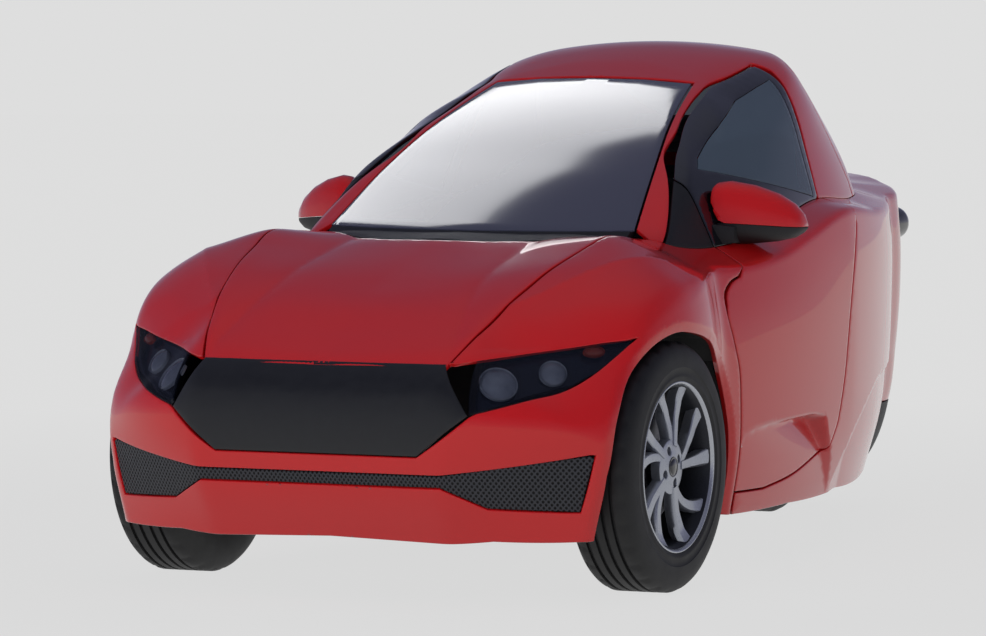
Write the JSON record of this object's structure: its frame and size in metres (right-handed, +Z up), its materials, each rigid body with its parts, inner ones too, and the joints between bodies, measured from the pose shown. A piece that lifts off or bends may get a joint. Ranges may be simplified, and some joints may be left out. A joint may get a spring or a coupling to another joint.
{
  "type": "three wheeled car",
  "caption": "Single-seat three-wheeled car with two steered front wheels, one rear wheel, hinged doors, a bonnet and a rear hatch.",
  "frame": {"origin": "on the ground at the middle of the overall length and width", "axes": "-Y is the way the car faces, +X is its left side, +Z is up"},
  "size_m": [1.4562, 3.1026, 1.2995],
  "materials": {
    "red_paint": "glossy clear coat",
    "black_plastic": "fine grained, matt",
    "lamp_lens": "clear smoked lens over a dark housing",
    "tail_lamp_lens": "dark red lens in a black ring",
    "tinted_glass": "lightly tinted",
    "tyre_rubber": "moulded rubber",
    "alloy": "cast and machined, lacquered",
    "brake_iron": "turned faces",
    "knuckle_iron": "as cast",
    "chassis_steel": "satin black coating",
    "motor_case": "cast",
    "battery_case": "plain sheet",
    "seat_cloth": "woven with stitched bolsters",
    "steering_rim": "soft grained grip"
  },
  "bodies": {
    "car_body": {"battery": "battery_case", "cowl": "black_plastic", "dashboard": "black_plastic", "floor_tub": "chassis_steel", "front_clip": "red_paint", "front_suspension": "chassis_steel", "headlamp_left": "lamp_lens", "headlamp_right": "lamp_lens", "lower_grille": "black_plastic", "motor": "motor_case", "nose_panel": "black_plastic", "pedals": "black_plastic", "rear_body": "red_paint", "rear_liner": "black_plastic", "roof_frame": "red_paint", "seat": "seat_cloth", "steering_column": "black_plastic", "swing_arm": "chassis_steel", "tail_lamp_left": "tail_lamp_lens", "tail_lamp_right": "tail_lamp_lens", "tail_valance": "black_plastic", "wheel_liner_left": "black_plastic", "wheel_liner_right": "black_plastic", "windscreen": "tinted_glass"},
    "knuckle_body_left": {"knuckle_left": "knuckle_iron"},
    "knuckle_body_right": {"knuckle_right": "knuckle_iron"},
    "wheel_front_left": {"rim_front_left": "alloy", "tyre_front_left": "tyre_rubber", "brake_disc_front_left": "brake_iron"},
    "wheel_front_right": {"rim_front_right": "alloy", "tyre_front_right": "tyre_rubber", "brake_disc_front_right": "brake_iron"},
    "wheel_rear": {"rim_rear": "alloy", "tyre_rear": "tyre_rubber"},
    "door_body_left": {"door_left": "red_paint", "window_frame_left": "black_plastic", "side_glass_left": "tinted_glass", "mirror_left": "red_paint"},
    "door_body_right": {"door_right": "red_paint", "window_frame_right": "black_plastic", "side_glass_right": "tinted_glass", "mirror_right": "red_paint"},
    "bonnet_body": {"bonnet": "red_paint"},
    "hatch_body": {"hatch": "red_paint", "hatch_glass": "tinted_glass"},
    "steering": {"steering_wheel": "steering_rim"}
  },
  "joints": [
    {"name": "steer_left", "type": "hinge", "parent": "car_body", "child": "knuckle_body_left", "pos_m": [0.562, -1.01, 0.304], "axis": [0, 0, 1], "range_deg": [-28, 28]},
    {"name": "steer_right", "type": "hinge", "parent": "car_body", "child": "knuckle_body_right", "pos_m": [-0.562, -1.01, 0.304], "axis": [0, 0, 1], "range_deg": [-28, 28]},
    {"name": "steering_turn", "type": "hinge", "parent": "car_body", "child": "steering", "pos_m": [0, -0.218, 0.845], "axis": [0, 0.9135, 0.4067], "range_deg": [-393, 393]},
    {"name": "spin_front_left", "type": "hinge", "parent": "knuckle_body_left", "child": "wheel_front_left", "pos_m": [0.622, -1.01, 0.304], "axis": [1, 0, 0], "continuous": true},
    {"name": "spin_front_right", "type": "hinge", "parent": "knuckle_body_right", "child": "wheel_front_right", "pos_m": [-0.622, -1.01, 0.304], "axis": [1, 0, 0], "continuous": true},
    {"name": "spin_rear", "type": "hinge", "parent": "car_body", "child": "wheel_rear", "pos_m": [0, 1.035, 0.304], "axis": [1, 0, 0], "continuous": true},
    {"name": "door_left_swing", "type": "hinge", "parent": "car_body", "child": "door_body_left", "pos_m": [0.638, -0.51, 0.47], "axis": [0, 0, -1], "range_deg": [0, 55]},
    {"name": "door_right_swing", "type": "hinge", "parent": "car_body", "child": "door_body_right", "pos_m": [-0.638, -0.51, 0.47], "axis": [0, 0, 1], "range_deg": [0, 55]},
    {"name": "bonnet_lift", "type": "hinge", "parent": "car_body", "child": "bonnet_body", "pos_m": [0, -0.725, 0.834], "axis": [-1, 0, 0], "range_deg": [0, 50]},
    {"name": "hatch_lift", "type": "hinge", "parent": "car_body", "child": "hatch_body", "pos_m": [0, 0.4375, 1.296], "axis": [1, 0, 0], "range_deg": [0, 65]}
  ],
  "couplings": [
    {"joint": "steer_right", "follows": "steer_left", "ratio": 1},
    {"joint": "steering_turn", "follows": "steer_left", "ratio": 14}
  ]
}
